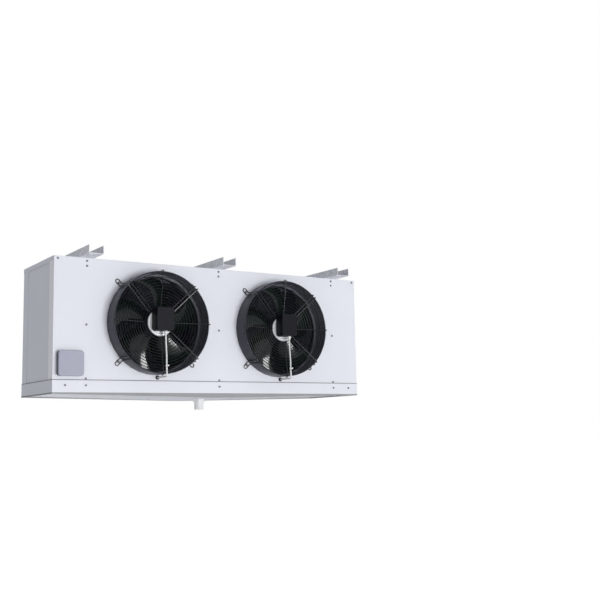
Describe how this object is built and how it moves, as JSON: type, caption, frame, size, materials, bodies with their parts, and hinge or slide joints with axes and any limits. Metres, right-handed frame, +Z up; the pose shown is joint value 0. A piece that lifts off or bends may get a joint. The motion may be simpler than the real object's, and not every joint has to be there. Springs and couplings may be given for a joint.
{
  "type": "walk-in unit cooler",
  "caption": "Ceiling-hung evaporator for a cold room: finned coil, axial fans in guarded rings, sloped drain pan, junction box and galvanised hanging channels.",
  "frame": {"origin": "centre of the roof's top face, on the underside of the hanging channels", "axes": "+X to the right seen from the fan side, +Y from the fan side to the coil side, +Z up"},
  "size_m": [1.523, 0.613, 0.662],
  "materials": {
    "casing_paint": "satin powder coat, white",
    "galvanised": "galvanised, spangled",
    "zinc_fastener": "zinc plated",
    "white_plastic": "moulded",
    "white_cable": "smooth sheath",
    "box_plastic": "fine moulded grain",
    "black_plastic": "fine moulded grain",
    "black_ring": "satin black paint",
    "black_wire": "plastic coated",
    "black_blade": "gloss black paint",
    "motor_aluminium": "die cast",
    "coil_fin": "coated fin stock",
    "copper": "drawn copper",
    "heater_steel": "sheathed heater"
  },
  "bodies": {
    "casing": {"roof_panel": "casing_paint", "front_fan_panel": "casing_paint", "left_end_cover": "casing_paint", "right_end_cover": "casing_paint", "rear_top_rail": "casing_paint", "rear_closed_panel": "casing_paint", "rear_pipe_panel": "casing_paint", "drain_pan": "casing_paint", "drain_spigot": "white_plastic", "drain_nut": "white_plastic", "left_hanging_channel": "galvanised", "centre_hanging_channel": "galvanised", "right_hanging_channel": "galvanised", "channel_bolts": "zinc_fastener", "front_panel_screws": "zinc_fastener", "rear_panel_screws": "zinc_fastener", "pan_screws": "zinc_fastener", "left_tube_sheet": "galvanised", "right_tube_sheet": "galvanised", "centre_support": "galvanised", "left_fin_pack": "coil_fin", "right_fin_pack": "coil_fin", "coil_hairpins": "copper", "return_bends": "copper", "suction_header": "copper", "liquid_header": "copper", "defrost_heaters": "heater_steel", "junction_box_base": "box_plastic", "junction_box_lid": "box_plastic", "left_fan_ring": "black_ring", "left_wire_guard": "black_wire", "left_guard_hoops": "black_wire", "left_guard_screws": "zinc_fastener", "left_motor_stator": "motor_aluminium", "left_terminal_box": "black_plastic", "left_cable_gland": "white_plastic", "left_motor_cable": "white_cable", "left_cable_grommet": "black_plastic", "left_cable_tie": "white_plastic", "right_fan_ring": "black_ring", "right_wire_guard": "black_wire", "right_guard_hoops": "black_wire", "right_guard_screws": "zinc_fastener", "right_motor_stator": "motor_aluminium", "right_terminal_box": "black_plastic", "right_cable_gland": "white_plastic", "right_motor_cable": "white_cable", "right_cable_grommet": "black_plastic", "right_cable_tie": "white_plastic"},
    "left_rotor": {"left_fan_rotor": "black_blade"},
    "right_rotor": {"right_fan_rotor": "black_blade"}
  },
  "joints": [
    {"name": "left_fan_spin", "type": "hinge", "parent": "casing", "child": "left_rotor", "pos_m": [-0.31, -0.2, -0.264], "axis": [0, -1, 0], "continuous": true},
    {"name": "right_fan_spin", "type": "hinge", "parent": "casing", "child": "right_rotor", "pos_m": [0.31, -0.2, -0.264], "axis": [0, -1, 0], "continuous": true}
  ]
}
